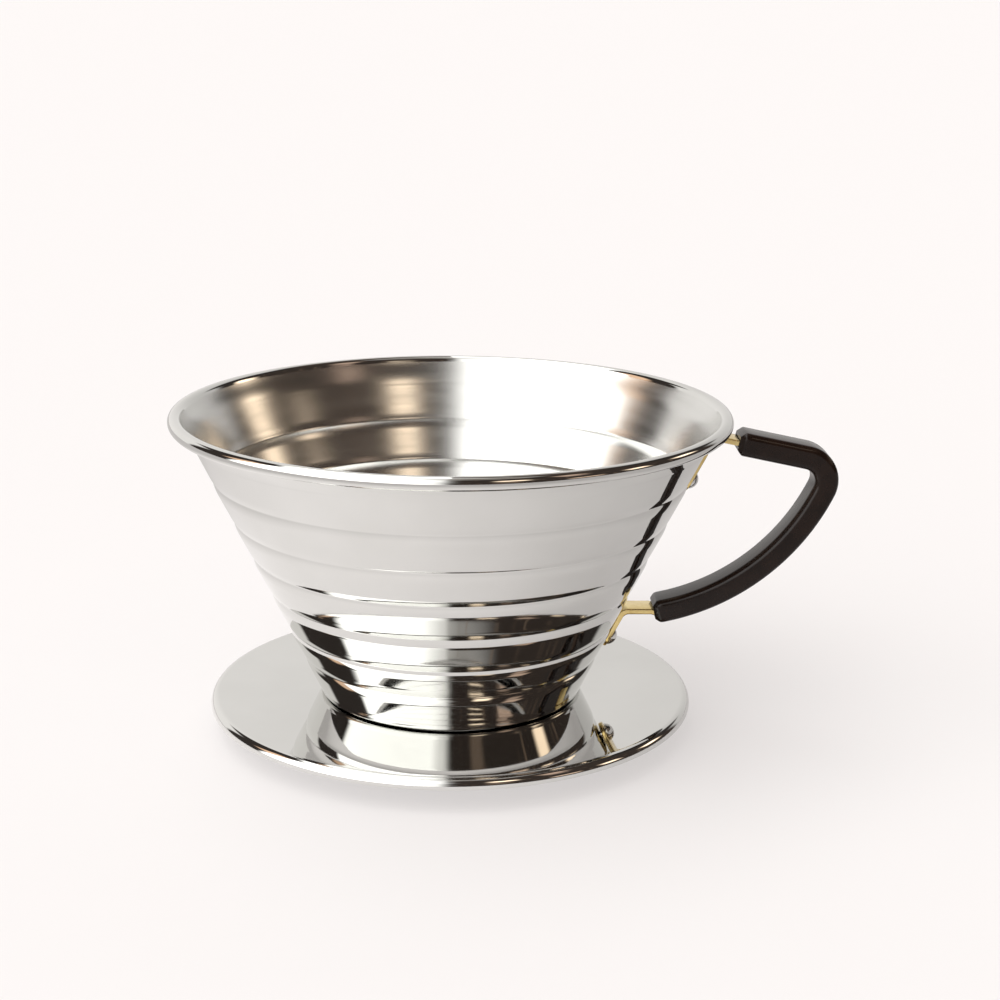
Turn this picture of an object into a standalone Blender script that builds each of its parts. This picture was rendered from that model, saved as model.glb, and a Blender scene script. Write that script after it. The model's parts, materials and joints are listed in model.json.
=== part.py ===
"""Pour over coffee dripper: a ringed steel cone on a saucer plate, with a grip on a riveted brass strap."""

import math

import bmesh
import bpy
from mathutils import Matrix, Vector

# Driving dimensions in metres. Z is up, the cone's axis is Z and the handle points along +X. The origin is
# on the cone's axis, level with the lower edge of the collar that drops into the mug.
SHEET = 0.0007
SEAT_GAP = 0.00025
SEGMENTS = 40
CUTTER_LENGTH = 0.0080

COLLAR_HEIGHT = 0.0054
COLLAR_RADIUS = 0.0240
COLLAR_CORNER = 0.0008
PLATE_RADIUS = 0.0510
PLATE_TOP = COLLAR_HEIGHT + 0.0020
PLATE_EDGE_ROUND = 0.00175
PLATE_EDGE_DROP = 0.00020

FOOT_RADIUS = 0.0273
FOOT_CORNER = 0.0010
FLOOR_RING_RADIUS = 0.0160
CONE_SLOPE = 0.470
CONE_TOP = COLLAR_HEIGHT + 0.0570
RIM_RADIUS = 0.0580
RIM_BEAD = 0.0014
RIM_CENTRE = COLLAR_HEIGHT + 0.0614
RIM_FLARE_SLOPE = 0.53
RIM_CURL_END = math.radians(-115)

RING_HEIGHTS = [COLLAR_HEIGHT + above for above in (0.0108, 0.0174, 0.0252, 0.0332, 0.0410, 0.0496)]
RING_LEDGE = 0.0018
RING_STEP = 0.0022
RING_DIP = 0.00032
RING_RISE = 0.00048
RING_SAMPLES = 2

DRAIN_RADIUS = 0.00175
DRAIN_CIRCLE = 0.0100
DRAIN_COUNT = 3
RIB_LENGTH = 0.0150
RIB_MIDDLE = 0.00675
RIB_WIDTH = 0.0026
RIB_HEIGHT = 0.0010

STRAP_WIDTH = 0.0060
STRAP_THICK = 0.0012
STRAP_BEND = 0.0020
PAD_GAP = 0.00025
LOWER_PAD_END = COLLAR_HEIGHT + 0.0110
LOWER_RUN = COLLAR_HEIGHT + 0.0194
LOWER_RUN_LEAD = 0.0006
UPPER_PAD_END = COLLAR_HEIGHT + 0.0452

GRIP_START = (0.0595, COLLAR_HEIGHT + 0.0561)
GRIP_SLOPE = math.radians(11.7)
GRIP_ARM = 0.0148
GRIP_ELBOW_RADIUS = 0.0052
GRIP_ELBOW_SWEEP = math.radians(102.8)
GRIP_BOW_RADIUS = 0.0465
GRIP_BOW_SWEEP = math.radians(53.5)
GRIP_TAIL = 0.0021
GRIP_WIDTH = 0.0080
GRIP_THICK = 0.0050
GRIP_CORNER = 0.0015
CHANNEL_GAP = 0.0003
CHANNEL_RUN_ON = 0.0030

RIVET_HEIGHTS = {"lower_rivet": COLLAR_HEIGHT + 0.0136, "upper_rivet": COLLAR_HEIGHT + 0.0481}
RIVET_SHANK = 0.0009
RIVET_HEAD = 0.0019
RIVET_DOME = 0.0012
RIVET_TAIL = 0.0015
RIVET_TAIL_THICK = 0.0005
RIVET_GAP = 0.0003
RIVET_TAIL_GAP = 0.0007


def clear_scene():
    for existing in list(bpy.data.objects):
        bpy.data.objects.remove(existing, do_unlink=True)


def new_collection(name, hidden=False):
    collection = bpy.data.collections.new(name)
    bpy.context.scene.collection.children.link(collection)
    collection.hide_render = hidden
    return collection


def principled(name, colour, metallic, roughness):
    material = bpy.data.materials.new(name)
    material.use_nodes = True
    shader = material.node_tree.nodes["Principled BSDF"]
    shader.inputs["Base Color"].default_value = (*colour, 1)
    shader.inputs["Metallic"].default_value = metallic
    shader.inputs["Roughness"].default_value = roughness
    return material


def polished_steel(name):
    return principled(name, (0.70, 0.69, 0.68), 1.0, 0.08)


def satin_brass(name):
    return principled(name, (0.76, 0.60, 0.30), 1.0, 0.25)


def phenolic_resin(name):
    return principled(name, (0.035, 0.022, 0.019), 0.0, 0.18)


def add_object(name, data, collection, material=None):
    made = bpy.data.objects.new(name, data)
    collection.objects.link(made)
    if material:
        data.materials.append(material)
    return made


def smooth_round(thing, angle=math.radians(30)):
    thing.data.shade_smooth()
    thing.data.set_sharp_from_angle(angle=angle)


def arc(centre, radius, start, end, steps):
    """Points (x, z) on an arc about centre, with angles from +X towards +Z."""
    turns = [start + (end - start) * i / steps for i in range(steps + 1)]
    return [(centre[0] + radius * math.cos(a), centre[1] + radius * math.sin(a)) for a in turns]


def lathe(thing, steps=SEGMENTS):
    screw = thing.modifiers.new("Lathe", "SCREW")
    screw.axis = "Z"
    screw.steps = steps
    screw.render_steps = steps
    screw.use_merge_vertices = True
    screw.merge_threshold = 0.00001
    screw.use_smooth_shade = True


def profile_mesh(name, points):
    mesh = bpy.data.meshes.new(name)
    edges = [(i, i + 1) for i in range(len(points) - 1)]
    mesh.from_pydata([(x, 0, z) for x, z in points], edges, [])
    return mesh


def turned_shell(name, path, collection, material):
    """A sheet of even thickness, turned about Z from the (radius, height) path of its middle."""
    shell = add_object(name, profile_mesh(name, path), collection, material)
    lathe(shell)
    solidify = shell.modifiers.new("Sheet", "SOLIDIFY")
    solidify.thickness = SHEET
    solidify.offset = 0
    solidify.use_even_offset = True
    return shell


def hole_cutter(name, radius, place, collection, segments):
    mesh = bpy.data.meshes.new(name)
    shape = bmesh.new()
    bmesh.ops.create_cone(
        shape,
        cap_ends=True,
        segments=segments,
        radius1=radius,
        radius2=radius,
        depth=CUTTER_LENGTH,
        matrix=place,
    )
    shape.to_mesh(mesh)
    shape.free()
    made = add_object(name, mesh, collection)
    made.display_type = "WIRE"
    return made


def boolean(thing, other, operation):
    cut = thing.modifiers.new(other.name, "BOOLEAN")
    cut.operation = operation
    cut.object = other
    cut.solver = "EXACT"


def cone_radius(height):
    """Outside radius of the plain cone that the rings are pressed into."""
    return FOOT_RADIUS + CONE_SLOPE * (height - PLATE_TOP)


def ring_offset(height):
    """How far the pressed rings move the outside of the cone at this height."""
    high = (RING_RISE - RING_DIP) / 2
    levels = [(PLATE_TOP, 0.0)]
    for ring in RING_HEIGHTS:
        above, below = height - ring, ring - height
        if 0 <= above < RING_LEDGE:
            return -high - RING_DIP * (1 - above / RING_LEDGE) ** 2
        if 0 <= below < RING_STEP:
            return high - RING_RISE * (1 - below / RING_STEP) ** 2
        levels += [(ring - RING_STEP, high), (ring + RING_LEDGE, -high)]
    levels.append((CONE_TOP, 0.0))
    for (low, first), (top, second) in zip(levels, levels[1:]):
        if low <= height <= top:
            return first + (second - first) * (height - low) / (top - low)
    return 0.0


def wall_heights():
    heights = []
    for ring in RING_HEIGHTS:
        heights += [ring - RING_STEP * (1 - i / RING_SAMPLES) for i in range(RING_SAMPLES)]
        heights += [ring + RING_LEDGE * i / RING_SAMPLES for i in range(RING_SAMPLES + 1)]
    return heights


def cup_path():
    """(radius, height) along the middle of the cup's sheet, from the centre of the floor to the curl."""
    tilt = math.atan(CONE_SLOPE)
    inset = SHEET / 2 / math.cos(tilt)
    floor = PLATE_TOP + SEAT_GAP + SHEET / 2
    corner_foot = cone_radius(floor + FOOT_CORNER) - inset
    corner = (corner_foot - FOOT_CORNER, floor + FOOT_CORNER)
    path = [(0.0, floor), (FLOOR_RING_RADIUS, floor)]
    path += arc(corner, FOOT_CORNER, -math.pi / 2, -tilt, 3)
    path += [(cone_radius(z) + ring_offset(z) - inset, z) for z in wall_heights()]
    path.append((cone_radius(CONE_TOP) - inset, CONE_TOP))
    curl = RIM_BEAD - SHEET / 2
    centre = (RIM_RADIUS - RIM_BEAD, RIM_CENTRE)
    path += arc(centre, curl, math.pi - math.atan(RIM_FLARE_SLOPE), RIM_CURL_END, 12)
    return path


def drain_rib(number, collection):
    """One arm of the raised Y that keeps the paper off the floor of the cup."""
    name = f"rib_arm_{number}"
    floor_top = PLATE_TOP + SEAT_GAP + SHEET
    turn = Matrix.Rotation(2 * math.pi * (number + 0.5) / DRAIN_COUNT, 4, "Z")
    shift = Matrix.Translation((RIB_MIDDLE, 0, floor_top))
    size = Matrix.Diagonal((RIB_LENGTH / 2, RIB_WIDTH / 2, RIB_HEIGHT, 1))
    mesh = bpy.data.meshes.new(name)
    shape = bmesh.new()
    bmesh.ops.create_uvsphere(shape, u_segments=20, v_segments=8, radius=1, matrix=turn @ shift @ size)
    bmesh.ops.bisect_plane(
        shape,
        geom=shape.verts[:] + shape.edges[:] + shape.faces[:],
        plane_co=(0, 0, floor_top - SHEET / 2),
        plane_no=(0, 0, -1),
        clear_outer=True,
    )
    bmesh.ops.holes_fill(shape, edges=shape.edges[:])
    bmesh.ops.recalc_face_normals(shape, faces=shape.faces[:])
    shape.to_mesh(mesh)
    shape.free()
    arm = add_object(name, mesh, collection)
    arm.display_type = "WIRE"
    return arm


def rivet_frame(height):
    """Local X is along the rivet's axis, out of the cone, and the origin is on the plain cone's outside."""
    tilt = math.atan(CONE_SLOPE)
    turn = Matrix.Rotation(tilt, 4, "Y")
    return Matrix.Translation((cone_radius(height), 0, height)) @ turn


def rivet_cutter(name, height, collection):
    along_axis = Matrix.Rotation(math.pi / 2, 4, "Y")
    return hole_cutter(
        name + "_hole", RIVET_SHANK + RIVET_GAP, rivet_frame(height) @ along_axis, collection, 16
    )


def make_cup(collection, cutters, rivet_holes):
    cup = turned_shell("cup_body", cup_path(), collection, polished_steel("cup_steel"))
    for number in range(DRAIN_COUNT):
        boolean(cup, drain_rib(number, cutters), "UNION")
    for number in range(DRAIN_COUNT):
        angle = 2 * math.pi * number / DRAIN_COUNT
        centre = (DRAIN_CIRCLE * math.cos(angle), DRAIN_CIRCLE * math.sin(angle), PLATE_TOP)
        hole = hole_cutter(f"drain_hole_{number}", DRAIN_RADIUS, Matrix.Translation(centre), cutters, 20)
        boolean(cup, hole, "DIFFERENCE")
    for hole in rivet_holes:
        boolean(cup, hole, "DIFFERENCE")
    return cup


def plate_path():
    """(radius, height) along the middle of the plate's sheet, from the collar to the turned-down edge."""
    middle = PLATE_TOP - SHEET / 2
    collar = COLLAR_RADIUS - SHEET / 2
    bend = PLATE_EDGE_ROUND - SHEET / 2
    centre = (PLATE_RADIUS - PLATE_EDGE_ROUND, middle - bend)
    path = [(collar, 0.0)]
    corner = (collar + COLLAR_CORNER, middle - COLLAR_CORNER)
    path += arc(corner, COLLAR_CORNER, math.pi, math.pi / 2, 3)
    path += arc(centre, bend, math.pi / 2, 0.0, 6)
    path.append((centre[0] + bend, centre[1] - PLATE_EDGE_DROP))
    return path


def make_plate(collection):
    return turned_shell("base_plate", plate_path(), collection, polished_steel("plate_steel"))


def grip_line():
    """(x, z) along the middle of the grip, from its upper end to its lower end."""
    heading = -GRIP_SLOPE
    start = Vector(GRIP_START)
    line = [start]
    place = start + GRIP_ARM * Vector((math.cos(heading), math.sin(heading)))
    elbow = (GRIP_ELBOW_RADIUS, GRIP_ELBOW_SWEEP, 10)
    bow = (GRIP_BOW_RADIUS, GRIP_BOW_SWEEP, 12)
    for radius, sweep, steps in (elbow, bow):
        centre = place + radius * Vector((math.sin(heading), -math.cos(heading)))
        begin = heading + math.pi / 2
        line += [Vector(point) for point in arc(centre, radius, begin, begin - sweep, steps)]
        heading -= sweep
        place = line[-1]
        line.pop()
    line.append(place)
    line.append(place + GRIP_TAIL * Vector((math.cos(heading), math.sin(heading))))
    return line


def pad_point(height):
    """(x, z) on the middle of the strap where it lies on the cone."""
    off_wall = (PAD_GAP + STRAP_THICK / 2) / math.cos(math.atan(CONE_SLOPE))
    return Vector((cone_radius(height) + off_wall, height))


def rounded_turn(before, corner, after, radius, steps=5):
    """Replaces a corner between two straight runs with an arc of this radius."""
    first = (before - corner).normalized()
    second = (after - corner).normalized()
    half = first.angle(second) / 2
    centre = corner + (first + second).normalized() * (radius / math.sin(half))
    begin = corner + first * (radius / math.tan(half)) - centre
    finish = corner + second * (radius / math.tan(half)) - centre
    turn = begin.angle_signed(finish)
    points = []
    for i in range(steps + 1):
        spin = Matrix.Rotation(-turn * i / steps, 2)
        points.append(centre + spin @ begin)
    return points


def strap_line():
    """(x, z) along the middle of the brass strap, from its upper pad, through the grip, to its lower pad."""
    grip = grip_line()
    arm = (grip[0] - grip[1]).normalized()
    pad_start, pad_end = pad_point(CONE_TOP), pad_point(UPPER_PAD_END)
    along = (pad_start - pad_end).normalized()
    reach = (grip[0] - pad_end).cross(arm) / along.cross(arm)
    upper_corner = pad_end + along * reach
    line = [pad_end] + rounded_turn(pad_end, upper_corner, grip[0], STRAP_BEND)
    line += grip
    lower_corner = pad_point(LOWER_RUN)
    leave = Vector((grip[-1][0] - LOWER_RUN_LEAD, LOWER_RUN))
    line.append(leave)
    line += rounded_turn(leave, lower_corner, pad_point(LOWER_PAD_END), STRAP_BEND)
    line.append(pad_point(LOWER_PAD_END))
    return line


def swept_bar(name, line, width, thickness, corner, collection):
    """A bar of rectangular section that follows an (x, z) line, with its width along Y."""
    flat = bpy.data.curves.new(name + "_line", "CURVE")
    flat.dimensions = "2D"
    flat.fill_mode = "BOTH"
    flat.extrude = width / 2
    left, right = [], []
    for i, point in enumerate(line):
        before = line[max(i - 1, 0)]
        after = line[min(i + 1, len(line) - 1)]
        first = (point - before).normalized() if i else (after - point).normalized()
        second = (after - point).normalized() if i < len(line) - 1 else first
        middle = (first + second).normalized()
        across = Vector((-middle.y, middle.x)) * (thickness / 2 / middle.dot(first))
        left.append(point + across)
        right.append(point - across)
    outline = left + right[::-1]
    spline = flat.splines.new("POLY")
    spline.points.add(len(outline) - 1)
    for slot, point in zip(spline.points, outline):
        slot.co = (point.x, point.y, 0, 1)
    spline.use_cyclic_u = True
    source = bpy.data.objects.new(name + "_line", flat)
    mesh = bpy.data.meshes.new_from_object(source)
    bpy.data.objects.remove(source)
    bpy.data.curves.remove(flat)
    shape = bmesh.new()
    shape.from_mesh(mesh)
    bmesh.ops.remove_doubles(shape, verts=shape.verts[:], dist=0.000001)
    bmesh.ops.recalc_face_normals(shape, faces=shape.faces[:])
    bmesh.ops.transform(shape, matrix=Matrix.Rotation(math.pi / 2, 4, "X"), verts=shape.verts[:])
    shape.to_mesh(mesh)
    shape.free()
    bar = add_object(name, mesh, collection)
    smooth_round(bar)
    if corner:
        bevel = bar.modifiers.new("Rounded edges", "BEVEL")
        bevel.width = corner
        bevel.segments = 2
        bevel.limit_method = "ANGLE"
        bevel.angle_limit = math.radians(50)
    return bar


def make_strap(collection, rivet_holes):
    strap = swept_bar("handle_strap", strap_line(), STRAP_WIDTH, STRAP_THICK, 0, collection)
    strap.data.materials.append(satin_brass("strap_brass"))
    for hole in rivet_holes:
        boolean(strap, hole, "DIFFERENCE")
    return strap


def channel_line():
    """The grip's middle line, run on past both ends so that the channel is open."""
    line = grip_line()
    first = (line[0] - line[1]).normalized() * CHANNEL_RUN_ON
    last = (line[-1] - line[-2]).normalized() * CHANNEL_RUN_ON
    return [line[0] + first] + line + [line[-1] + last]


def make_grip(collection, cutters):
    grip = swept_bar("handle_grip", grip_line(), GRIP_WIDTH, GRIP_THICK, GRIP_CORNER, collection)
    grip.data.materials.append(phenolic_resin("grip_resin"))
    wide = STRAP_WIDTH + 2 * CHANNEL_GAP
    thick = STRAP_THICK + 2 * CHANNEL_GAP
    channel = swept_bar("grip_channel", channel_line(), wide, thick, 0, cutters)
    channel.display_type = "WIRE"
    boolean(grip, channel, "DIFFERENCE")
    return grip


def rivet_profile():
    """(radius, distance along the axis) round half of a rivet, from the dome's top to the tail's end."""
    seat = (PAD_GAP + STRAP_THICK) + RIVET_GAP
    inside = -SHEET - RIVET_TAIL_GAP
    sphere = (RIVET_HEAD**2 + RIVET_DOME**2) / (2 * RIVET_DOME)
    edge = math.asin(RIVET_HEAD / sphere)
    dome = arc((0, seat + RIVET_DOME - sphere), sphere, math.pi / 2, math.pi / 2 - edge, 5)
    dome[0] = (0.0, seat + RIVET_DOME)
    shank = [(RIVET_SHANK, seat), (RIVET_SHANK, inside)]
    tail = [(RIVET_TAIL, inside), (RIVET_TAIL, inside - RIVET_TAIL_THICK), (0.0, inside - RIVET_TAIL_THICK)]
    return dome + shank + tail


def make_rivet(name, height, collection):
    profile = profile_mesh(name, rivet_profile())
    rivet = add_object(name, profile, collection, polished_steel(name + "_steel"))
    lathe(rivet, 20)
    along_axis = Matrix.Rotation(math.pi / 2, 4, "Y")
    rivet.matrix_world = rivet_frame(height) @ along_axis
    return rivet


def main():
    clear_scene()
    dripper = new_collection("pour_over_dripper")
    cutters = new_collection("cutters", hidden=True)
    holes = [rivet_cutter(name, height, cutters) for name, height in RIVET_HEIGHTS.items()]
    make_cup(dripper, cutters, holes)
    make_plate(dripper)
    make_grip(dripper, cutters)
    make_strap(dripper, holes)
    for name, height in RIVET_HEIGHTS.items():
        make_rivet(name, height, dripper)
    for helper in cutters.objects:
        helper.hide_render = True


main()
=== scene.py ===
"""Looks of the pour over dripper: fine meshes for the CAD solids, in polished steel, brass and resin."""

import json
import math

import bmesh
import bpy
import numpy as np
from mathutils import Matrix, Vector

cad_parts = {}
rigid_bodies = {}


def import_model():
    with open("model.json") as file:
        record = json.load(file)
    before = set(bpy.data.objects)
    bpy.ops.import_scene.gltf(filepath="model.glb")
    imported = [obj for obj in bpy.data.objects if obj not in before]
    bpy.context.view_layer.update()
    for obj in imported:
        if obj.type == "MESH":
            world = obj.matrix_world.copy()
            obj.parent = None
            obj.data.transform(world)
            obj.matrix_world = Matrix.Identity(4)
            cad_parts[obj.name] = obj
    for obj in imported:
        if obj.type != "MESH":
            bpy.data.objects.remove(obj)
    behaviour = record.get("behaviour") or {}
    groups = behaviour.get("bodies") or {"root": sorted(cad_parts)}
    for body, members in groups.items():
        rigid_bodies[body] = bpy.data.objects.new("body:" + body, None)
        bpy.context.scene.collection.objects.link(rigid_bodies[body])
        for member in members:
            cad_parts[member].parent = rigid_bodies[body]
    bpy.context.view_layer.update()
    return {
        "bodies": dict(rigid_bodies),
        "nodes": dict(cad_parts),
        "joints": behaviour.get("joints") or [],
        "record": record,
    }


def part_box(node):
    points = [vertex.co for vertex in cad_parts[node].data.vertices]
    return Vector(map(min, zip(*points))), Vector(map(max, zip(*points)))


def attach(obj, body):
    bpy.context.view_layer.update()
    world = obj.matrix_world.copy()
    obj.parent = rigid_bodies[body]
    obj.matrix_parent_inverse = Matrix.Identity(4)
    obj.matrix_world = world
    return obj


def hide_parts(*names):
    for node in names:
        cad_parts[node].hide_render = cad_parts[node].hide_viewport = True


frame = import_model()

# Dimensions in metres, in the frame of the CAD model: the cone's axis is Z and the handle points along +X.
PLATE_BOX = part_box("base_plate")
CUP_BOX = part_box("cup_body")

SHEET = 0.0007
TURNS = 320
COLLAR = 0.0054
COLLAR_RADIUS = 0.0240
COLLAR_CORNER = 0.0008
PLATE_TOP = PLATE_BOX[1].z
PLATE_RADIUS = PLATE_BOX[1].x
PLATE_EDGE_ROUND = 0.00175
PLATE_EDGE_DROP = 0.00020

SEAT_GAP = 0.00025
FOOT_RADIUS = 0.0273
FOOT_CORNER = 0.0007
CONE_SLOPE = 0.470
CONE_TOP = COLLAR + 0.0570
RIM_RADIUS = CUP_BOX[1].x
RIM_BEAD = 0.0014
RIM_CENTRE = COLLAR + 0.0614
RIM_FLARE_SLOPE = 0.53
RIM_CURL_END = math.radians(-115)
FLARE_FULLNESS = 0.45
FLARE_STEPS = 24
RINGS = [COLLAR + above for above in (0.0108, 0.0174, 0.0252, 0.0332, 0.0410, 0.0496)]
RING_STRENGTHS = (1.0, 1.0, 1.0, 1.0, 0.68, 0.58)
RING_LEDGE = 0.0018
RING_STEP = 0.0022
RING_DIP = 0.00032
RING_RISE = 0.00048
WALL_STEP = 0.00014
OUTER_CREASE = 0.00010
INNER_CREASE = 0.00026
WALL_WOBBLE = 0.00003
WOBBLE_RISE = 0.020
POLISHED_RIM = CONE_TOP + 0.0048

DRAIN_COUNT = 3
DRAIN_RADIUS = 0.00175
DRAIN_CIRCLE = 0.0100
DRAIN_CUT_DEPTH = 0.006
FLOOR_STEP = 0.00035
RIB_ZONE = 0.020
RIB_REACH = 0.0142
RIB_HALF_WIDTH = 0.0014
RIB_HEIGHT = 0.0009

STRAP_WIDTH = 0.0060
STRAP_THICK = 0.0012
STRAP_BEND = 0.0020
STRAP_CORNER = 0.00022
PAD_END_THICK = 0.0008
PAD_END_ROUND = STRAP_WIDTH / 2 - 0.0002
PAD_TAPER = 0.0090
PAD_GAP = 0.00025
LOWER_PAD_END = COLLAR + 0.0110
LOWER_RUN = COLLAR + 0.0194
UPPER_PAD_END = COLLAR + 0.0452

GRIP_START = (0.0595, COLLAR + 0.0561)
GRIP_SLOPE = math.radians(11.7)
GRIP_ARM = 0.0148
GRIP_ELBOW_RADIUS = 0.0052
GRIP_ELBOW_SWEEP = math.radians(102.8)
GRIP_BOW_RADIUS = 0.0465
GRIP_BOW_SWEEP = math.radians(53.5)
GRIP_TAIL = 0.0021
GRIP_WIDTH = 0.0080
GRIP_THICK = 0.0050
GRIP_CORNER = 0.0013
GRIP_END_CHAMFER = 0.0011
GRIP_SIDE_CHAMFER = 0.0007
GRIP_END_CORNER = 0.0003
GRIP_END_RINGS = 9
GRIP_END_CURVE = 0.15
SECTION_STEPS = 7
CHANNEL_CLEARANCE = 0.0002
STRAP_LEAVES_GRIP = 0.0006

RIVET_HEIGHTS = {"lower_rivet": COLLAR + 0.0136, "upper_rivet": COLLAR + 0.0481}
RIVET_SHANK = 0.0009
RIVET_HEAD = 0.0019
RIVET_DOME = 0.0012
RIVET_BRIM = 0.0003
RIVET_TAIL = 0.0015
RIVET_TAIL_THICK = 0.0005
RIVET_TAIL_ROUND = 0.0002
RIVET_TAIL_GAP = 0.0007
RIVET_SEAT_GAP = 0.0001
RIVET_EDGE = 0.0001
RIVET_FROM_PAD_END = 0.0030


# ---------------------------------------------------------------- geometry


def new_mesh(name, points, faces):
    mesh = bpy.data.meshes.new(name)
    mesh.from_pydata([tuple(p) for p in points], [], [tuple(f) for f in faces])
    mesh.validate()
    mesh.shade_smooth()
    made = bpy.data.objects.new(name, mesh)
    bpy.context.scene.collection.objects.link(made)
    return made


def arc(centre, radius, start, end, steps):
    """Points (x, z) on an arc about centre, with angles from +X towards +Z."""
    turns = [start + (end - start) * i / steps for i in range(steps + 1)]
    return [(centre[0] + radius * math.cos(a), centre[1] + radius * math.sin(a)) for a in turns]


def line(start, end, steps):
    """Points from start to just before end."""
    return [
        (start[0] + (end[0] - start[0]) * i / steps, start[1] + (end[1] - start[1]) * i / steps)
        for i in range(steps)
    ]


def offset_path(path, distance):
    """The (x, z) path moved to its left by distance, along normals averaged at each point."""
    points = np.array(path)
    along = np.zeros_like(points)
    steps = np.diff(points, axis=0)
    steps /= np.linalg.norm(steps, axis=1)[:, None]
    along[0], along[-1] = steps[0], steps[-1]
    along[1:-1] = steps[:-1] + steps[1:]
    along /= np.linalg.norm(along, axis=1)[:, None]
    left = np.stack([-along[:, 1], along[:, 0]], axis=1)
    return points + left * distance


def revolve(name, loop, turns=TURNS, wobble=None):
    """Turns a closed (radius, height) loop about Z. Points on the axis become poles."""
    loop = np.array(loop)
    on_axis = loop[:, 0] < 1e-7
    angles = 2 * math.pi * np.arange(turns) / turns
    rows, points = [], []
    for (radius, height), pole in zip(loop, on_axis):
        if pole:
            rows.append([len(points)] * turns)
            points.append((0.0, 0.0, height))
            continue
        rows.append(list(range(len(points), len(points) + turns)))
        extra = wobble(radius, height, angles) if wobble else 0.0
        ring = radius + extra
        points += list(zip(ring * np.cos(angles), ring * np.sin(angles), [height] * turns))
    faces = []
    for i in range(len(loop)):
        first, second = rows[i], rows[(i + 1) % len(loop)]
        if on_axis[i] and on_axis[(i + 1) % len(loop)]:
            continue
        for j in range(turns):
            k = (j + 1) % turns
            face = [first[j], first[k], second[k], second[j]]
            faces.append(list(dict.fromkeys(face)))
    made = new_mesh(name, points, faces)
    face_outwards(made)
    return made


def face_outwards(thing):
    shape = bmesh.new()
    shape.from_mesh(thing.data)
    bmesh.ops.recalc_face_normals(shape, faces=shape.faces[:])
    if shape.calc_volume(signed=True) < 0:
        bmesh.ops.reverse_faces(shape, faces=shape.faces[:])
    shape.to_mesh(thing.data)
    shape.free()


def cone_radius(height):
    """Outside radius of the plain cone that the rings are pressed into."""
    return FOOT_RADIUS + CONE_SLOPE * (height - PLATE_TOP)


def ring_offset(height):
    """How far the pressed rings move the outside of the cone at this height."""
    levels = [(PLATE_TOP, 0.0)]
    for ring, strength in zip(RINGS, RING_STRENGTHS):
        above, below = height - ring, ring - height
        dip, rise = RING_DIP * strength, RING_RISE * (0.4 + 0.6 * strength)
        high = (rise - dip) / 2
        if 0 <= above < RING_LEDGE:
            return -high - dip * (1 - above / RING_LEDGE) ** 2
        if 0 <= below < RING_STEP:
            return high - rise * (1 - below / RING_STEP) ** 2
        levels += [(ring - RING_STEP, high), (ring + RING_LEDGE, -high)]
    levels.append((CONE_TOP, 0.0))
    for (low, first), (top, second) in zip(levels, levels[1:]):
        if low <= height <= top:
            return first + (second - first) * (height - low) / (top - low)
    return 0.0


def wall_offset(height, blur):
    """ring_offset averaged over a height of 2 * blur, which rounds the creases."""
    samples = np.linspace(-blur, blur, 15)
    return float(np.mean([ring_offset(height + s) for s in samples]))


def lip_line(start):
    """(x, z) along the middle of the sheet from the cone's top, out through the flare and round the curl."""
    curl = RIM_BEAD - SHEET / 2
    centre = (RIM_RADIUS - RIM_BEAD, RIM_CENTRE)
    begin = math.pi - math.atan(RIM_FLARE_SLOPE)
    join = (centre[0] + curl * math.cos(begin), centre[1] + curl * math.sin(begin))
    tangent = (math.sin(begin), -math.cos(begin))
    reach = (join[1] - start[1]) * FLARE_FULLNESS
    leave = (start[0] + CONE_SLOPE * reach, start[1] + reach)
    arrive = (join[0] - tangent[0] * reach, join[1] - tangent[1] * reach)
    flare = []
    for i in range(FLARE_STEPS):
        t = i / FLARE_STEPS
        weights = ((1 - t) ** 3, 3 * t * (1 - t) ** 2, 3 * t * t * (1 - t), t**3)
        knots = (start, leave, arrive, join)
        flare.append(tuple(sum(w * k[axis] for w, k in zip(weights, knots)) for axis in (0, 1)))
    return flare + arc(centre, curl, begin, RIM_CURL_END, 60)


def cup_loop():
    """The cup's section as one closed loop: up the outside, round the curl, down the inside to the floor."""
    tilt = math.atan(CONE_SLOPE)
    across = SHEET / math.cos(tilt)
    floor = PLATE_TOP + SEAT_GAP
    wall_low = floor + FOOT_CORNER + SHEET / 2
    heights = np.arange(wall_low, CONE_TOP - 0.0002, WALL_STEP)
    outside = [(cone_radius(z) + wall_offset(z, OUTER_CREASE), z) for z in heights]
    inside = [(cone_radius(z) + wall_offset(z, INNER_CREASE) - across, z) for z in heights]
    lip = lip_line((cone_radius(CONE_TOP) - across / 2, CONE_TOP))
    lip_inside = offset_path(lip, SHEET / 2)
    lip_outside = offset_path(lip, -SHEET / 2)
    corner_foot = cone_radius(floor + SHEET / 2 + FOOT_CORNER) - across / 2
    corner = (corner_foot - FOOT_CORNER, floor + SHEET / 2 + FOOT_CORNER)
    bend = arc(corner, FOOT_CORNER, -math.pi / 2, -tilt, 14)
    bend_out = [tuple(p) for p in offset_path(bend, -SHEET / 2)]
    bend_in = [tuple(p) for p in offset_path(bend, SHEET / 2)]
    flat = [0.0] + list(np.arange(0.0006, bend_in[0][0] - 0.0003, FLOOR_STEP))
    under = [(r, floor) for r in flat if r < bend_out[0][0]]
    top = [(r, floor + SHEET) for r in flat]
    loop = under + bend_out + outside + [tuple(p) for p in lip_outside]
    loop += [tuple(p) for p in lip_inside[::-1]] + inside[::-1] + bend_in[::-1] + top[::-1]
    return loop


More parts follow.
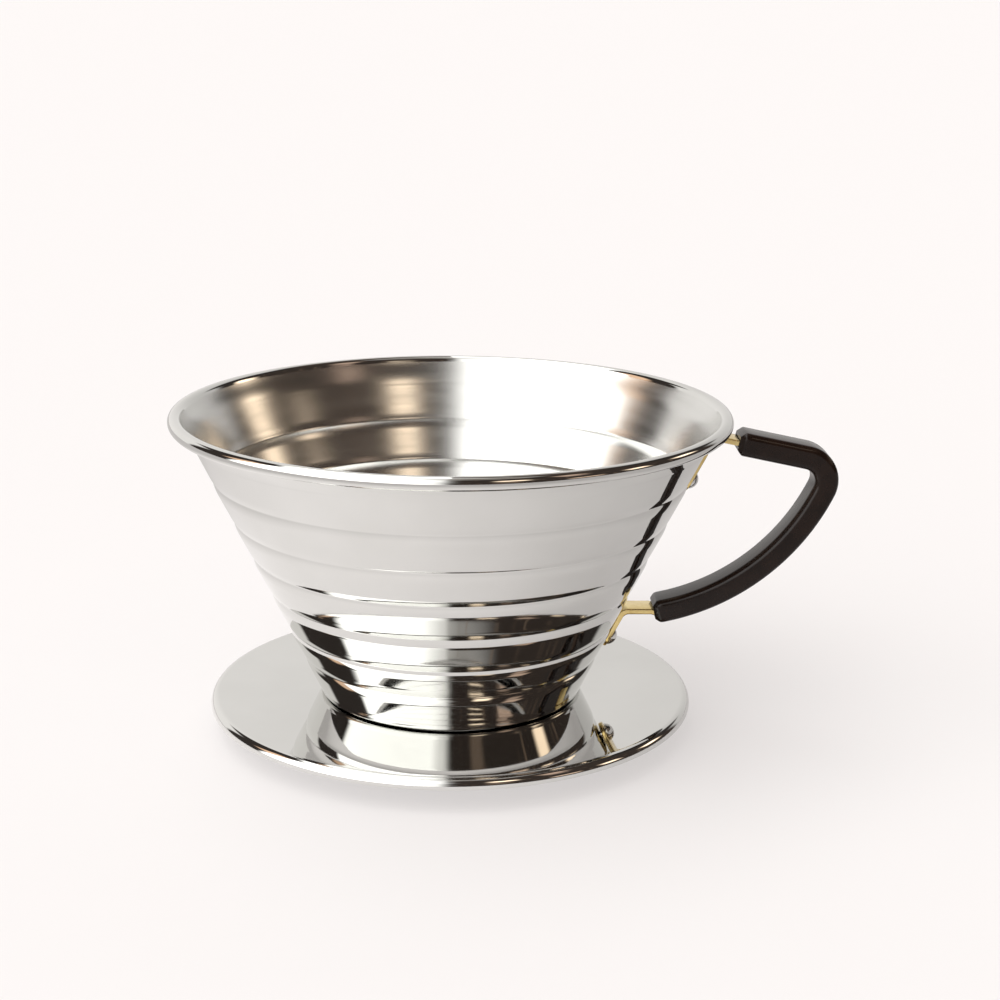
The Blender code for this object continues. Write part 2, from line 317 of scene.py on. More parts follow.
def rib_height(x, y):
    """Height of the raised Y on the floor, which keeps the paper off it."""
    best = 0.0
    for number in range(3):
        angle = 2 * math.pi * (number + 0.5) / 3
        along = x * math.cos(angle) + y * math.sin(angle)
        across = abs(-x * math.sin(angle) + y * math.cos(angle))
        past = max(0.0, along - (RIB_REACH - RIB_HALF_WIDTH), -along)
        away = math.hypot(across, past) / RIB_HALF_WIDTH
        if away < 1:
            best = max(best, math.cos(away * math.pi / 2) ** 1.4)
    return best * RIB_HEIGHT


def cup_wobble(radius, height, angles):
    """How far a pressed and polished wall is out of true, at each angle round the cone."""
    if radius < FOOT_RADIUS or height > CONE_TOP:
        return 0.0
    share = min(1.0, (height - PLATE_TOP) / WOBBLE_RISE)
    slow = np.sin(3 * angles + 40 * height) * 0.6 + np.sin(5 * angles - 130 * height + 1.0) * 0.4
    return WALL_WOBBLE * share * slow


def drain_cutter(number):
    """A cylinder through the floor where one of the drain holes goes."""
    angle = 2 * math.pi * number / DRAIN_COUNT
    place = (DRAIN_CIRCLE * math.cos(angle), DRAIN_CIRCLE * math.sin(angle), PLATE_TOP)
    shape = bmesh.new()
    bmesh.ops.create_cone(
        shape,
        cap_ends=True,
        segments=48,
        radius1=DRAIN_RADIUS,
        radius2=DRAIN_RADIUS,
        depth=DRAIN_CUT_DEPTH,
        matrix=Matrix.Translation(place),
    )
    mesh = bpy.data.meshes.new(f"drain_{number}")
    shape.to_mesh(mesh)
    shape.free()
    cutter = bpy.data.objects.new(mesh.name, mesh)
    bpy.context.scene.collection.objects.link(cutter)
    return cutter


def make_cup():
    """The cone with its floor, the raised Y and the drain holes."""
    cup = revolve("dripper_cup", cup_loop(), wobble=cup_wobble)
    floor_top = PLATE_TOP + SEAT_GAP + SHEET + 0.0001
    for vertex in cup.data.vertices:
        x, y, z = vertex.co
        if z < floor_top and math.hypot(x, y) < RIB_ZONE:
            vertex.co.z = z + rib_height(x, y)
    cutters = [drain_cutter(number) for number in range(DRAIN_COUNT)]
    for cutter in cutters:
        cut = cup.modifiers.new(cutter.name, "BOOLEAN")
        cut.operation = "DIFFERENCE"
        cut.solver = "EXACT"
        cut.object = cutter
    bake_modifiers(cup)
    for cutter in cutters:
        bpy.data.objects.remove(cutter)
    cup.data.set_sharp_from_angle(angle=math.radians(40))
    mark_inside(cup)
    return cup


def bake_modifiers(thing):
    graph = bpy.context.evaluated_depsgraph_get()
    final = bpy.data.meshes.new_from_object(thing.evaluated_get(graph))
    thing.modifiers.clear()
    thing.data = final


def mark_inside(cup):
    """Gives each point 1 on the turned inside of the cone and 0 on the polished outside and rim."""
    tilt = math.atan(CONE_SLOPE)
    half = SHEET / math.cos(tilt) / 2
    values = []
    floor_middle = PLATE_TOP + SEAT_GAP + SHEET / 2
    for vertex in cup.data.vertices:
        x, y, z = vertex.co
        sheet_middle = cone_radius(z) - half + max(0.0, z - CONE_TOP) * 0.12
        turned = floor_middle < z <= POLISHED_RIM and math.hypot(x, y) < sheet_middle
        values.append(1.0 if turned else 0.0)
    zone = cup.data.attributes.new("inside", "FLOAT", "POINT")
    zone.data.foreach_set("value", values)


def plate_loop():
    """The plate's section as one closed loop, from the collar's edge to the turned-down edge and back."""
    middle = PLATE_TOP - SHEET / 2
    collar = COLLAR_RADIUS - SHEET / 2
    bend = PLATE_EDGE_ROUND - SHEET / 2
    centre = (PLATE_RADIUS - PLATE_EDGE_ROUND, middle - bend)
    corner = (collar + COLLAR_CORNER, middle - COLLAR_CORNER)
    path = line((collar, 0.0), (collar, middle - COLLAR_CORNER), 10)
    path += arc(corner, COLLAR_CORNER, math.pi, math.pi / 2, 14)
    path += line((collar + COLLAR_CORNER + 0.0002, middle), (centre[0] - 0.0001, middle), 44)
    path += arc(centre, bend, math.pi / 2, 0.0, 40)
    path += [(centre[0] + bend, centre[1] - PLATE_EDGE_DROP * share) for share in (0.5, 1.0)]
    outer = offset_path(path, SHEET / 2)
    inner = offset_path(path, -SHEET / 2)
    edge = arc(path[-1], SHEET / 2, 0.0, -math.pi, 12)[1:-1]
    return [tuple(p) for p in outer] + edge + [tuple(p) for p in inner[::-1]]


def make_plate():
    """The saucer and its collar, turned from one section."""
    plate = revolve("dripper_plate", plate_loop())
    plate.data.set_sharp_from_angle(angle=math.radians(40))
    return plate


def grip_line(elbow_steps=40, bow_steps=70):
    """(x, z) along the middle of the grip, from its upper end to its lower end."""
    heading = -GRIP_SLOPE
    start = Vector(GRIP_START)
    place = start + GRIP_ARM * Vector((math.cos(heading), math.sin(heading)))
    points = [start.lerp(place, i / 12) for i in range(12)]
    for radius, sweep, steps in (
        (GRIP_ELBOW_RADIUS, GRIP_ELBOW_SWEEP, elbow_steps),
        (GRIP_BOW_RADIUS, GRIP_BOW_SWEEP, bow_steps),
    ):
        centre = place + radius * Vector((math.sin(heading), -math.cos(heading)))
        begin = heading + math.pi / 2
        points += [Vector(p) for p in arc(centre, radius, begin, begin - sweep, steps)]
        heading -= sweep
        place = points.pop()
    end = place + GRIP_TAIL * Vector((math.cos(heading), math.sin(heading)))
    points += [place.lerp(end, i / 4) for i in range(5)]
    return points


def pad_point(height):
    """(x, z) on the middle of the strap where it lies on the cone."""
    off_wall = (PAD_GAP + STRAP_THICK / 2) / math.cos(math.atan(CONE_SLOPE))
    return Vector((cone_radius(height) + off_wall, height))


def rounded_turn(before, corner, after, radius, steps=14):
    """Replaces a corner between two straight runs with an arc of this radius."""
    first = (before - corner).normalized()
    second = (after - corner).normalized()
    half = first.angle(second) / 2
    centre = corner + (first + second).normalized() * (radius / math.sin(half))
    begin = corner + first * (radius / math.tan(half)) - centre
    finish = corner + second * (radius / math.tan(half)) - centre
    turn = begin.angle_signed(finish)
    return [centre + Matrix.Rotation(-turn * i / steps, 2) @ begin for i in range(steps + 1)]


def strap_line():
    """(x, z) along the middle of the brass strap, from its upper pad, through the grip, to its lower pad."""
    grip = grip_line(16, 24)
    arm = (grip[0] - grip[1]).normalized()
    pad_start, pad_end = pad_point(CONE_TOP), pad_point(UPPER_PAD_END)
    along = (pad_start - pad_end).normalized()
    reach = (grip[0] - pad_end).cross(arm) / along.cross(arm)
    upper_corner = pad_end + along * reach
    upper_turn = rounded_turn(pad_end, upper_corner, grip[0], STRAP_BEND)
    points = [pad_end.lerp(upper_turn[0], i / 16) for i in range(16)] + upper_turn + grip
    lower_corner = pad_point(LOWER_RUN)
    leave = Vector((grip[-1].x - STRAP_LEAVES_GRIP, LOWER_RUN))
    points.append(leave)
    lower_end = pad_point(LOWER_PAD_END)
    lower_turn = rounded_turn(leave, lower_corner, lower_end, STRAP_BEND)
    points += lower_turn
    points += [lower_turn[-1].lerp(lower_end, (i + 1) / 16) for i in range(16)]
    return points


def rounded_section(width, thick, corner, steps):
    """A rounded rectangle as (across the width, across the thickness) points, anticlockwise."""
    section = []
    for sign_w, sign_t, start in ((1, 1, 0.0), (-1, 1, 0.5), (-1, -1, 1.0), (1, -1, 1.5)):
        centre = (sign_w * (width / 2 - corner), sign_t * (thick / 2 - corner))
        section += arc(centre, corner, start * math.pi, (start + 0.5) * math.pi, steps)
    return section


def frames_along(points):
    """(point, direction, in-plane normal) at each point of an (x, z) line."""
    frames = []
    for i, point in enumerate(points):
        before, after = points[max(i - 1, 0)], points[min(i + 1, len(points) - 1)]
        along = (after - before).normalized()
        frames.append((point, along, Vector((-along.y, along.x))))
    return frames


def ring_at(point, normal, section):
    """The section's points in space, with its width along Y."""
    return [(point.x + normal.x * t, w, point.y + normal.y * t) for w, t in section]


def bridge(rings, closed=False):
    """Points and faces of a skin through rings of equal length, with capped ends unless it is closed."""
    size = len(rings[0])
    points = [p for ring in rings for p in ring]
    faces = []
    last = len(rings) if closed else len(rings) - 1
    for i in range(last):
        low, high = i * size, ((i + 1) % len(rings)) * size
        for j in range(size):
            k = (j + 1) % size
            faces.append((low + j, low + k, high + k, high + j))
    if not closed:
        faces.append(tuple(range(size))[::-1])
        faces.append(tuple(range((len(rings) - 1) * size, len(rings) * size)))
    return points, faces


def grip_end_rings(frame, outward):
    """Rings over the chamfer at one end of the grip, from the end face back to the full section."""
    point, along, normal = frame
    rings = []
    for i in range(GRIP_END_RINGS):
        share = i / GRIP_END_RINGS
        turn = math.pi / 2 * share
        inset = GRIP_END_CURVE * (1 - math.sin(turn)) + (1 - GRIP_END_CURVE) * (1 - share)
        back = GRIP_END_CHAMFER * (GRIP_END_CURVE * (1 - math.cos(turn)) + (1 - GRIP_END_CURVE) * share)
        width = GRIP_WIDTH - 2 * GRIP_SIDE_CHAMFER * inset
        thick = GRIP_THICK - 2 * GRIP_END_CHAMFER * inset
        corner = GRIP_CORNER + (GRIP_END_CORNER - GRIP_CORNER) * inset
        section = rounded_section(width, thick, corner, SECTION_STEPS)
        rings.append(ring_at(point - outward * along * back, normal, section))
    return rings


def make_grip():
    """The moulded grip, with a channel for the strap along its middle."""
    frames = frames_along(grip_line())
    first, last = frames[0], frames[-1]
    outer = rounded_section(GRIP_WIDTH, GRIP_THICK, GRIP_CORNER, SECTION_STEPS)
    room = 2 * CHANNEL_CLEARANCE
    channel = rounded_section(STRAP_WIDTH + room, STRAP_THICK + room, CHANNEL_CLEARANCE, SECTION_STEPS)
    plain = []
    for point, _, normal in frames:
        from_end = min((point - first[0]).length, (point - last[0]).length)
        if from_end > GRIP_END_CHAMFER * 1.1:
            plain.append(ring_at(point, normal, outer))
    rings = grip_end_rings(first, -1) + plain + grip_end_rings(last, 1)[::-1]
    rings += [ring_at(point, normal, channel) for point, _, normal in frames[::-1]]
    grip = new_mesh("dripper_grip", *bridge(rings, closed=True))
    face_outwards(grip)
    grip.data.set_sharp_from_angle(angle=math.radians(34))
    return grip


def pad_thickness(from_end):
    """The strap is pressed thinner towards the end of each pad."""
    return PAD_END_THICK + (STRAP_THICK - PAD_END_THICK) * min(1.0, from_end / PAD_TAPER)


def make_strap():
    """One brass strap, whose rounded pads get thinner towards their ends."""
    points = strap_line()
    frames = frames_along(points)
    lengths = [0.0]
    for before, after in zip(points, points[1:]):
        lengths.append(lengths[-1] + (after - before).length)
    total = lengths[-1]
    rings = []
    for (point, _, normal), length in zip(frames, lengths):
        near = min(length, total - length)
        thick = pad_thickness(near)
        towards_wall = 1 if length < total / 2 else -1
        point = point + normal * towards_wall * (STRAP_THICK - thick) / 2
        before_round = max(0.0, PAD_END_ROUND - near)
        cut = PAD_END_ROUND - math.sqrt(PAD_END_ROUND**2 - before_round**2)
        rings.append(ring_at(point, normal, rounded_section(STRAP_WIDTH - 2 * cut, thick, STRAP_CORNER, 4)))
    strap = new_mesh("dripper_strap", *bridge(rings))
    face_outwards(strap)
    strap.data.set_sharp_from_angle(angle=math.radians(50))
    return strap


def rivet_frame(height):
    """Local Z is along the rivet's axis, out of the cone, and the origin is on the plain cone's outside."""
    tilt = math.atan(CONE_SLOPE)
    turn = Matrix.Rotation(tilt, 4, "Y") @ Matrix.Rotation(math.pi / 2, 4, "Y")
    return Matrix.Translation((cone_radius(height), 0, height)) @ turn


def make_rivet(node, height):
    """A domed head on the strap's pad, a shank through the wall and a flat tail inside."""
    seat = PAD_GAP + pad_thickness(RIVET_FROM_PAD_END) + RIVET_SEAT_GAP
    inside = -SHEET - RIVET_TAIL_GAP
    sphere = (RIVET_HEAD**2 + RIVET_DOME**2) / (2 * RIVET_DOME)
    edge = math.asin(RIVET_HEAD / sphere)
    brim = seat + RIVET_BRIM
    loop = arc((0, brim + RIVET_DOME - sphere), sphere, math.pi / 2, math.pi / 2 - edge, 20)
    loop[0] = (0.0, brim + RIVET_DOME)
    loop += [(RIVET_HEAD, seat + RIVET_EDGE), (RIVET_HEAD - RIVET_EDGE, seat)]
    loop += [(RIVET_SHANK, seat), (RIVET_SHANK, inside)]
    loop += [(RIVET_TAIL - RIVET_EDGE, inside), (RIVET_TAIL, inside - RIVET_EDGE)]
    low = inside - RIVET_TAIL_THICK
    corner = (RIVET_TAIL - RIVET_TAIL_ROUND, low + RIVET_TAIL_ROUND)
    loop += arc(corner, RIVET_TAIL_ROUND, 0.0, -math.pi / 2, 5)
    loop += [(0.0, low)]
    rivet = revolve("dripper_" + node, loop, 64)
    rivet.data.transform(rivet_frame(height))
    rivet.data.set_sharp_from_angle(angle=math.radians(40))
    return rivet


# ---------------------------------------------------------------- materials


class Nodes:
    """Short names for adding and joining shader nodes."""

    def __init__(self, owner):
        owner.use_nodes = True
        self.owner = owner
        self.tree = owner.node_tree
        self.shader = self.tree.nodes.get("Principled BSDF")

    def add(self, kind, **settings):
        node = self.tree.nodes.new(kind)
        for key, value in settings.items():
            setattr(node, key, value)
        return node

    def set(self, socket, value):
        if isinstance(value, bpy.types.NodeSocket):
            self.tree.links.new(value, socket)
        else:
            socket.default_value = value

    def math(self, operation, *values):
        node = self.add("ShaderNodeMath", operation=operation)
        for socket, value in zip(node.inputs, values):
            self.set(socket, value)
        return node.outputs[0]

    def noise(self, vector, scale, detail=3.0, rough=0.5):
        node = self.add("ShaderNodeTexNoise")
        self.set(node.inputs["Vector"], vector)
        node.inputs["Scale"].default_value = scale
        node.inputs["Detail"].default_value = detail
        node.inputs["Roughness"].default_value = rough
        return node.outputs["Fac"]

    def remap(self, value, low, high, to_low, to_high):
        node = self.add("ShaderNodeMapRange")
        for name, number in zip(("From Min", "From Max", "To Min", "To Max"), (low, high, to_low, to_high)):
            node.inputs[name].default_value = number
        self.set(node.inputs["Value"], value)
        return node.outputs["Result"]

    def mix_numbers(self, factor, first, second):
        node = self.add("ShaderNodeMix", data_type="FLOAT")
        self.set(node.inputs[0], factor)
        self.set(node.inputs[2], first)
        self.set(node.inputs[3], second)
        return node.outputs[0]

    def mix(self, factor, first, second):
        node = self.add("ShaderNodeMix", data_type="RGBA")
        self.set(node.inputs[0], factor)
        self.set(node.inputs[6], first)
        self.set(node.inputs[7], second)
        return node.outputs[2]

    def combine(self, x, y, z):
        node = self.add("ShaderNodeCombineXYZ")
        for socket, value in zip(node.inputs, (x, y, z)):
            self.set(socket, value)
        return node.outputs[0]

    def place(self):
        """Object coordinates in metres and their x, y and z."""
        vector = self.add("ShaderNodeTexCoord").outputs["Object"]
        split = self.add("ShaderNodeSeparateXYZ")
        self.set(split.inputs[0], vector)
        return vector, split.outputs[0], split.outputs[1], split.outputs[2]

    def bump(self, height, distance, after=None):
        node = self.add("ShaderNodeBump")
        node.inputs["Strength"].default_value = 1.0
        node.inputs["Distance"].default_value = distance
        self.set(node.inputs["Height"], height)
        if after is not None:
            self.set(node.inputs["Normal"], after)
        return node.outputs["Normal"]


# Each look's colour wanders between two shades.
CUP_SHADES = ((0.674, 0.674, 0.656, 1), (0.720, 0.720, 0.704, 1))
PLATE_SHADES = ((0.700, 0.700, 0.684, 1), (0.740, 0.740, 0.724, 1))
RIVET_SHADES = ((0.66, 0.65, 0.63, 1), (0.76, 0.75, 0.73, 1))
BRASS_SHADES = ((0.86, 0.69, 0.33, 1), (0.70, 0.52, 0.21, 1))
RESIN_SHADES = ((0.0080, 0.0040, 0.0027, 1), (0.0160, 0.0080, 0.0052, 1))
RESIN_IOR = 1.34


def polar(nodes):
    """(angle, radius, height) about the cone's axis."""
    vector, x, y, z = nodes.place()
    angle = nodes.math("ARCTAN2", y, x)
    squares = nodes.math("ADD", nodes.math("MULTIPLY", x, x), nodes.math("MULTIPLY", y, y))
    return vector, angle, nodes.math("SQRT", squares), z


def cup_steel():
    """Mirror-polished outside; inside, fine turning marks that run round the cone."""
    nodes = Nodes(bpy.data.materials.new("cup_steel_look"))
    vector, angle, radius, height = polar(nodes)
    zone = nodes.add("ShaderNodeAttribute", attribute_name="inside").outputs["Fac"]
    slant = nodes.math("ADD", nodes.math("MULTIPLY", height, 0.9), nodes.math("MULTIPLY", radius, 0.42))
    fine = nodes.combine(nodes.math("MULTIPLY", angle, 0.0022), slant, 0.0)
    marks = nodes.noise(fine, 5200.0, 4.0, 0.65)
    bands = nodes.noise(nodes.combine(nodes.math("MULTIPLY", angle, 0.004), slant, 0.3), 420.0, 3.0, 0.6)
    cloud = nodes.noise(vector, 38.0, 3.0, 0.55)
    smears = nodes.noise(vector, 150.0, 4.0, 0.6)
    polished = nodes.remap(smears, 0.35, 0.75, 0.025, 0.060)
    turned = nodes.remap(bands, 0.3, 0.7, 0.20, 0.25)
    nodes.set(nodes.shader.inputs["Roughness"], nodes.mix_numbers(zone, polished, turned))
    tint = nodes.mix(nodes.remap(cloud, 0.3, 0.7, 0.0, 1.0), *CUP_SHADES)
    nodes.set(nodes.shader.inputs["Base Color"], tint)
    depth = nodes.math("MULTIPLY", marks, nodes.mix_numbers(zone, 0.02, 1.0))
    wave = nodes.bump(nodes.noise(vector, 90.0, 2.0, 0.5), 0.000012)
    nodes.set(nodes.shader.inputs["Normal"], nodes.bump(depth, 0.0000022, wave))
    nodes.shader.inputs["Metallic"].default_value = 1.0
    return nodes.owner


def plate_steel():
    """Mirror-polished sheet with faint polishing marks round the axis."""
    nodes = Nodes(bpy.data.materials.new("plate_steel_look"))
    vector, angle, radius, height = polar(nodes)
    ring = nodes.combine(nodes.math("MULTIPLY", angle, 0.003), radius, height)
    marks = nodes.noise(ring, 2600.0, 4.0, 0.6)
    smears = nodes.noise(vector, 130.0, 4.0, 0.6)
    nodes.set(nodes.shader.inputs["Roughness"], nodes.remap(smears, 0.35, 0.75, 0.020, 0.050))
    cloud = nodes.noise(vector, 45.0, 3.0, 0.55)
    tint = nodes.mix(nodes.remap(cloud, 0.3, 0.7, 0.0, 1.0), *PLATE_SHADES)
    nodes.set(nodes.shader.inputs["Base Color"], tint)
    wave = nodes.bump(nodes.noise(vector, 60.0, 2.0, 0.5), 0.000010)
    nodes.set(nodes.shader.inputs["Normal"], nodes.bump(marks, 0.0000001, wave))
    nodes.shader.inputs["Metallic"].default_value = 1.0
    return nodes.owner


def rivet_steel():
    """Small steel heads, dented by the riveting tool and a little smeared."""
    nodes = Nodes(bpy.data.materials.new("rivet_steel_look"))
    vector, _, _, _ = nodes.place()
    smears = nodes.noise(vector, 900.0, 4.0, 0.6)
    nodes.set(nodes.shader.inputs["Roughness"], nodes.remap(smears, 0.3, 0.7, 0.10, 0.22))
    nodes.set(nodes.shader.inputs["Base Color"], nodes.mix(smears, *RIVET_SHADES))
    dents = nodes.noise(vector, 1600.0, 2.0, 0.5)
    nodes.set(nodes.shader.inputs["Normal"], nodes.bump(dents, 0.00002))
    nodes.shader.inputs["Metallic"].default_value = 1.0
    return nodes.owner


def brass():
    """Rolled brass strap: satin, with lengthwise lines and darker, less worn patches."""
    nodes = Nodes(bpy.data.materials.new("strap_brass_look"))
    vector, _, _, _ = nodes.place()
    stretched = nodes.add("ShaderNodeVectorMath", operation="MULTIPLY")
    nodes.set(stretched.inputs[0], vector)
    stretched.inputs[1].default_value = (0.06, 1.0, 0.06)
    lines = nodes.noise(stretched.outputs[0], 5200.0, 4.0, 0.6)
    patches = nodes.noise(vector, 260.0, 4.0, 0.6)
    nodes.set(nodes.shader.inputs["Roughness"], nodes.remap(patches, 0.3, 0.7, 0.14, 0.26))
    tint = nodes.mix(nodes.remap(patches, 0.35, 0.7, 0.0, 1.0), *BRASS_SHADES)
    nodes.set(nodes.shader.inputs["Base Color"], tint)
    nodes.set(nodes.shader.inputs["Normal"], nodes.bump(lines, 0.000004))
    nodes.shader.inputs["Metallic"].default_value = 1.0
    return nodes.owner


def resin():
    """Moulded dark brown phenolic resin: glossy, with soft mottling and light handling marks."""
    nodes = Nodes(bpy.data.materials.new("grip_resin_look"))
    vector, _, _, _ = nodes.place()
    mottle = nodes.noise(vector, 220.0, 5.0, 0.6)
    tint = nodes.mix(nodes.remap(mottle, 0.3, 0.7, 0.0, 1.0), *RESIN_SHADES)
    nodes.set(nodes.shader.inputs["Base Color"], tint)
    smears = nodes.noise(vector, 420.0, 4.0, 0.65)
    nodes.set(nodes.shader.inputs["Roughness"], nodes.remap(smears, 0.3, 0.75, 0.10, 0.20))
    dimples = nodes.bump(nodes.noise(vector, 240.0, 2.0, 0.5), 0.00003)
    grain = nodes.noise(vector, 2600.0, 3.0, 0.6)
    nodes.set(nodes.shader.inputs["Normal"], nodes.bump(grain, 0.000002, dimples))
    nodes.shader.inputs["IOR"].default_value = RESIN_IOR
    return nodes.owner


# ---------------------------------------------------------------- stage


BACKDROP = (0.965, 0.930, 0.922, 1)
FLOOR_PAINT = (0.34, 0.33, 0.33, 1)
FLOOR_GLOW = 0.535


def make_floor():
    """A pale floor that glows a little, evenly to the camera. The glow the steel mirrors is painted shade:
    darker to the right and away from the plate.
    """
    shape = bmesh.new()
    bmesh.ops.create_circle(shape, cap_ends=True, segments=96, radius=30.0)
    mesh = bpy.data.meshes.new("floor")
    shape.to_mesh(mesh)
    shape.free()
    floor = bpy.data.objects.new("floor", mesh)
    bpy.context.scene.collection.objects.link(floor)
    nodes = Nodes(bpy.data.materials.new("floor_paint"))
    nodes.shader.inputs["Base Color"].default_value = FLOOR_PAINT
    nodes.shader.inputs["Emission Color"].default_value = BACKDROP
    seen = nodes.add("ShaderNodeLightPath").outputs["Is Camera Ray"]
    _, _, radius, _ = polar(nodes)
    _, x, _, _ = nodes.place()
    # Painted shade: the glow seen in reflections darkens to the right and away from the plate.
    across = nodes.remap(x, -0.02, 0.12, 0.60, 0.24)
    mirrored_painted_shade = nodes.math("MULTIPLY", across, nodes.remap(radius, 0.085, 0.18, 1.0, 0.35))
    glow = nodes.mix_numbers(seen, mirrored_painted_shade, FLOOR_GLOW)
    nodes.set(nodes.shader.inputs["Emission Strength"], glow)
    nodes.shader.inputs["Roughness"].default_value = 0.9
    nodes.shader.inputs["Specular IOR Level"].default_value = 0.0
    mesh.materials.append(nodes.owner)


CAMERA_PLACE = Vector((0.0, -0.38377, COLLAR + 0.14764))
CAMERA_TURN = math.radians(1.522)
CAMERA_PITCH = math.radians(15.241)
CAMERA_ROLL = math.radians(0.553)
SENSOR_WIDTH = 36.0
FOCAL_LENGTH = SENSOR_WIDTH * 1.8993


def make_camera():
    """Stands where the photographer stood, with the same field of view."""
    level = math.cos(CAMERA_PITCH)
    forward = Vector((math.sin(CAMERA_TURN) * level, math.cos(CAMERA_TURN) * level, -math.sin(CAMERA_PITCH)))
    right = forward.cross(Vector((0, 0, 1))).normalized()
    roll = Matrix.Rotation(-CAMERA_ROLL, 3, forward)
    right = roll @ right
    up = right.cross(forward)
    data = bpy.data.cameras.new("camera")
    data.sensor_width = SENSOR_WIDTH
    data.lens = FOCAL_LENGTH
    data.clip_start = 0.01
    data.clip_end = 100
    camera = bpy.data.objects.new("camera", data)
    bpy.context.scene.collection.objects.link(camera)
    turn = Matrix((right, up, -forward)).transposed().to_4x4()
    camera.matrix_world = Matrix.Translation(CAMERA_PLACE) @ turn
    bpy.context.scene.camera = camera


# What the steel mirrors, as soft-edged cards on the sky. Each has its azimuth (0 towards -Y, where the camera
# is, and positive towards -X), elevation, half width, half height and edge softness, in degrees, and its
# colour. A later card covers an earlier one.
CARDS = [
    ("ceiling_right", -60, 84, 66, 10, 8, (0.20, 0.17, 0.14)),
    ("ceiling_back", -150, 62, 42, 12, 8, (0.11, 0.085, 0.070)),
    ("dark_room", -62, 24, 66, 48, 8, (0.048, 0.037, 0.031)),
    ("window", 52, 36, 44, 42, 20, (2.70, 2.68, 2.62)),
    ("far_door", -128, 38, 15, 18, 6, (0.040, 0.034, 0.031)),
    ("dark_post", 110, 18, 14, 34, 5, (0.044, 0.036, 0.032)),
    ("dark_beam", 127, 41, 17, 13, 5, (0.044, 0.036, 0.032)),
    ("post_glow", 101, 33, 6, 9, 6, (1.20, 0.80, 0.54)),
    ("front_glow", -22, 22, 5, 11, 6, (0.22, 0.16, 0.12)),
    ("front_lamp", -27, 39, 7, 5, 7, (2.60, 2.08, 1.55)),
    ("low_lamp", -54, 12, 7, 4, 5, (0.95, 0.70, 0.52)),
    ("mid_glow", -60, 46, 6, 5, 6, (0.55, 0.39, 0.30)),
    ("high_glow", -68, 55, 9, 4, 5, (0.80, 0.57, 0.43)),
    ("side_lamp", -80, 20, 5, 6, 5, (2.30, 1.80, 1.32)),
    ("back_lamp", -111, 23, 6, 5, 6, (2.80, 2.22, 1.64)),
]
WINDOW_EDGE = 8.0
WINDOW_LEAN = 0.5
WINDOW_LEAN_START = 46.0
WINDOW_WANDER = 9.0
SHELF_GLEAM = (0.30, 0.21, 0.15, 1)
SKY = (1.02, 0.99, 0.96, 1)
BLACK = (0.0, 0.0, 0.0, 1)


def smooth_edge(nodes, value, centre, half, soft):
    """1 within half of centre, falling to 0 over soft."""
    away = nodes.math("ABSOLUTE", nodes.math("SUBTRACT", value, centre))
    node = nodes.add("ShaderNodeMapRange", interpolation_type="SMOOTHSTEP")
    node.inputs["From Min"].default_value = half + soft / 2
    node.inputs["From Max"].default_value = half - soft / 2
    nodes.set(node.inputs["Value"], away)
    return node.outputs["Result"]


def shelf_gleam(nodes, azimuth, elevation, inside):
    """Small patches of light on the things that stand in the dark room."""
    across, up = nodes.math("MULTIPLY", azimuth, 0.22), nodes.math("MULTIPLY", elevation, 0.12)
    spot = nodes.combine(across, up, 0.0)
    patches = nodes.remap(nodes.noise(spot, 1.0, 4.0, 0.6), 0.58, 0.76, 0.0, 1.0)
    return nodes.math("MULTIPLY", patches, inside)


def window_azimuth(nodes, direction, azimuth, elevation):
    """Azimuth as the window uses it: its edge leans and softens with height and wanders like a curtain."""
    above = nodes.math("MAXIMUM", nodes.math("SUBTRACT", elevation, WINDOW_LEAN_START), 0.0)
    leaning = nodes.math("SUBTRACT", azimuth, nodes.math("MULTIPLY", above, WINDOW_LEAN))
    folds = nodes.math("SUBTRACT", nodes.noise(direction, 5.0, 2.0, 0.6), 0.5)
    wandering = nodes.math("ADD", leaning, nodes.math("MULTIPLY", folds, 2 * WINDOW_WANDER))
    level = nodes.math("COSINE", nodes.math("RADIANS", elevation))
    past_edge = nodes.math("MULTIPLY", nodes.math("SUBTRACT", wandering, WINDOW_EDGE), level)
    return nodes.math("ADD", past_edge, WINDOW_EDGE)


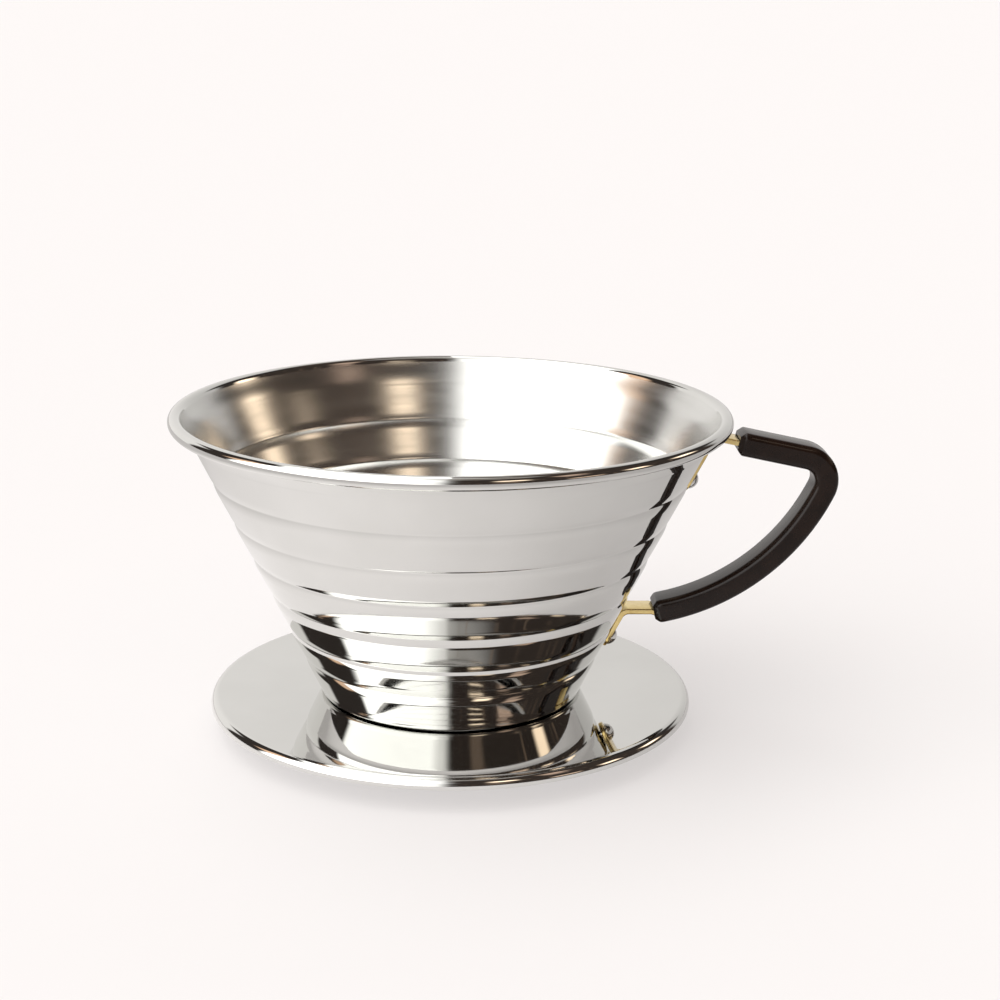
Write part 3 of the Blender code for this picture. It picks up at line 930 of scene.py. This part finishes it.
def make_world():
    """A plain studio, pale to the camera. The steel mirrors a window, a dark room and a few lamps in it."""
    world = bpy.data.worlds.new("studio")
    bpy.context.scene.world = world
    nodes = Nodes(world)
    background = nodes.tree.nodes["Background"]
    direction = nodes.add("ShaderNodeTexCoord").outputs["Generated"]
    split = nodes.add("ShaderNodeSeparateXYZ")
    nodes.set(split.inputs[0], direction)
    x, y, z = split.outputs
    azimuth = nodes.math("ARCTAN2", nodes.math("MULTIPLY", x, -1.0), nodes.math("MULTIPLY", y, -1.0))
    azimuth = nodes.math("DEGREES", azimuth)
    elevation = nodes.math("DEGREES", nodes.math("ARCSINE", z))
    level = nodes.remap(x, -0.6, 0.7, 1.02, 0.64)
    colour = nodes.mix(level, BLACK, SKY)
    for name, card_azimuth, card_elevation, width, height, soft, tint in CARDS:
        turned = window_azimuth(nodes, direction, azimuth, elevation) if name == "window" else azimuth
        across = smooth_edge(nodes, turned, card_azimuth, width, soft)
        upright = smooth_edge(nodes, elevation, card_elevation, height, soft)
        colour = nodes.mix(nodes.math("MULTIPLY", across, upright), colour, (*tint, 1))
        if name == "dark_room":
            colour = nodes.mix(shelf_gleam(nodes, azimuth, elevation, across), colour, SHELF_GLEAM)
    seen = nodes.add("ShaderNodeLightPath").outputs["Is Camera Ray"]
    nodes.set(background.inputs["Color"], nodes.mix(seen, colour, BACKDROP))
    background.inputs["Strength"].default_value = 1.0


def make_lamp():
    """Soft light from overhead for the floor and the grip, which the steel doesn't mirror."""
    data = bpy.data.lights.new("overhead", "SUN")
    data.energy = 1.1
    data.angle = math.radians(110)
    lamp = bpy.data.objects.new("overhead", data)
    lamp.visible_glossy = False
    bpy.context.scene.collection.objects.link(lamp)


def main():
    looks = {
        "cup_body": (make_cup(), cup_steel(), "cup_steel"),
        "base_plate": (make_plate(), plate_steel(), "plate_steel"),
        "handle_grip": (make_grip(), resin(), "grip_resin"),
        "handle_strap": (make_strap(), brass(), "strap_brass"),
    }
    steel = rivet_steel()
    for node, height in RIVET_HEIGHTS.items():
        looks[node] = (make_rivet(node, height), steel, node + "_steel")
    for node, (piece, material, slot) in looks.items():
        piece.data.materials.clear()
        piece.data.materials.append(material)
        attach(piece, "root")
        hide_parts(node)
    make_floor()
    make_camera()
    make_world()
    make_lamp()
    bpy.context.scene.view_settings.view_transform = "Standard"


main()
